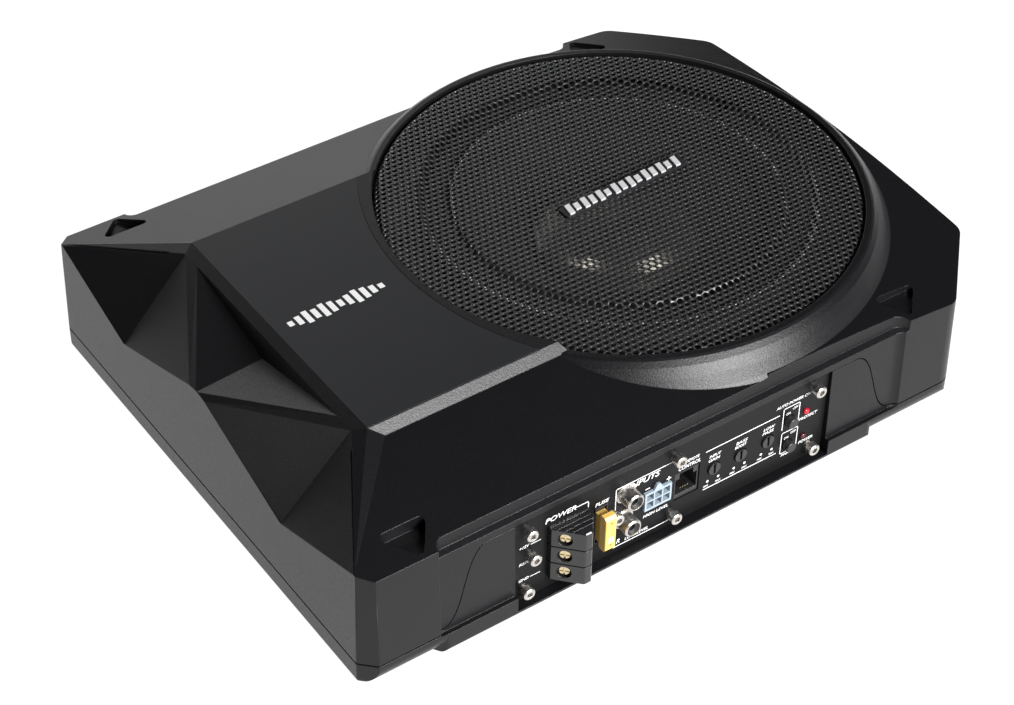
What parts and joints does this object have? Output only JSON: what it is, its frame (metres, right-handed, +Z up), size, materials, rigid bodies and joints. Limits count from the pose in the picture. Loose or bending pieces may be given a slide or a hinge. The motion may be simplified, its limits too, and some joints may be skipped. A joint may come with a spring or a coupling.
{
  "type": "powered car subwoofer",
  "caption": "Flat powered subwoofer box with faceted end, round perforated grille over the loudspeaker, and a side panel with sockets, dials, buttons, fuse and power clamps.",
  "frame": {"origin": "centre of the footprint, on the flat underside of the tray", "axes": "+X towards the loudspeaker end, -Y the side with the control panel, +Z up"},
  "size_m": [0.342, 0.2647, 0.0766],
  "materials": {
    "shell": "fine-grained black ABS",
    "plate": "smooth satin black",
    "foam": "closed-cell foam cord",
    "screw_black": "black zinc",
    "rubber": "soft black rubber",
    "grille": "black powder coat on perforated steel",
    "badge": "brushed, edge bevelled",
    "basket": "black painted pressed steel",
    "surround": "matt butyl rubber",
    "cone": "black pressed paper",
    "cap": "grey-beige satin dome",
    "spider": "impregnated cloth",
    "former": "thin rolled sheet",
    "copper": "enamelled copper wire",
    "steel": "zinc plated",
    "ferrite": "ground ferrite",
    "tag_board": "phenolic board",
    "nickel": "bright nickel",
    "brass": "plated contact metal",
    "wire": "insulated wire",
    "panel": "dark grey powder coat",
    "block": "black moulded nylon",
    "black_plastic": "black moulding",
    "fuse": "tinted yellow",
    "natural_nylon": "milky natural nylon",
    "insulator": "off-white",
    "lens_red": "red tinted lens",
    "lens_dark": "dark tinted lens",
    "board": "green solder resist",
    "alu": "milled plate",
    "transistor": "epoxy package",
    "can": "shrink sleeve"
  },
  "bodies": {
    "case": {"top_shell": "shell", "bottom_shell": "shell", "shell_seal": "foam", "case_screws": "screw_black", "rubber_pads": "rubber", "top_trim_plate": "plate", "grille": "grille", "grille_badge": "badge", "driver_basket": "basket", "driver_gasket": "foam", "driver_screws": "screw_black", "surround": "surround", "spider": "spider", "magnet_top_plate": "steel", "magnet": "ferrite", "pole_yoke": "steel", "driver_terminal_strip": "tag_board", "driver_tags": "brass", "speaker_leads": "wire", "control_panel": "panel", "panel_screws": "nickel", "terminal_block": "block", "terminal_contacts": "brass", "fuse_holder": "black_plastic", "rca_shells": "nickel", "rca_insulators": "insulator", "rca_body": "black_plastic", "high_level_socket": "natural_nylon", "high_level_pins": "brass", "remote_jack": "black_plastic", "remote_jack_contacts": "brass", "pot_bodies": "steel", "switch_bodies": "steel", "protect_lamp": "lens_red", "power_lamp": "lens_dark", "amp_board": "board", "heat_spreader": "alu", "board_screws": "steel", "power_transistors": "transistor", "capacitors": "can", "choke": "copper"},
    "moving_coil": {"cone": "cone", "dust_cap": "cap", "voice_coil_former": "former", "voice_coil_winding": "copper"},
    "gain_dial": {"gain_adjuster": "black_plastic"},
    "boost_dial": {"boost_adjuster": "black_plastic"},
    "low_pass_dial": {"low_pass_adjuster": "black_plastic"},
    "auto_on_key": {"auto_on_button": "black_plastic"},
    "phase_key": {"phase_button": "black_plastic"},
    "fuse": {"fuse_body": "fuse", "fuse_blades": "nickel"},
    "clamp_1": {"terminal_screw_1": "brass"},
    "clamp_2": {"terminal_screw_2": "brass"},
    "clamp_3": {"terminal_screw_3": "brass"}
  },
  "joints": [
    {"name": "cone_travel", "type": "slide", "parent": "case", "child": "moving_coil", "axis": [0, 0, 1], "range_m": [-0.005, 0.005], "deforming": ["surround", "spider"]},
    {"name": "gain_turn", "type": "hinge", "parent": "case", "child": "gain_dial", "pos_m": [0.0057, -0.1235, 0.0238], "axis": [0, -1, 0], "range_deg": [-140, 140]},
    {"name": "boost_turn", "type": "hinge", "parent": "case", "child": "boost_dial", "pos_m": [0.0199, -0.1235, 0.0238], "axis": [0, -1, 0], "range_deg": [-140, 140]},
    {"name": "low_pass_turn", "type": "hinge", "parent": "case", "child": "low_pass_dial", "pos_m": [0.0347, -0.1235, 0.0238], "axis": [0, -1, 0], "range_deg": [-140, 140]},
    {"name": "auto_on_press", "type": "slide", "parent": "case", "child": "auto_on_key", "axis": [0, 1, 0], "range_m": [0, 0.0015]},
    {"name": "phase_press", "type": "slide", "parent": "case", "child": "phase_key", "axis": [0, 1, 0], "range_m": [0, 0.0015]},
    {"name": "fuse_pull", "type": "slide", "parent": "case", "child": "fuse", "axis": [0, -1, 0], "range_m": [0, 0.014]},
    {"name": "clamp_turn_1", "type": "hinge", "parent": "case", "child": "clamp_1", "pos_m": [-0.07622, -0.13025, 0.015], "axis": [-0.7315, -0.6818, 0], "continuous": true},
    {"name": "clamp_turn_2", "type": "hinge", "parent": "case", "child": "clamp_2", "pos_m": [-0.07622, -0.13025, 0.0243], "axis": [-0.7315, -0.6818, 0], "continuous": true},
    {"name": "clamp_turn_3", "type": "hinge", "parent": "case", "child": "clamp_3", "pos_m": [-0.07622, -0.13025, 0.0336], "axis": [-0.7315, -0.6818, 0], "continuous": true}
  ]
}
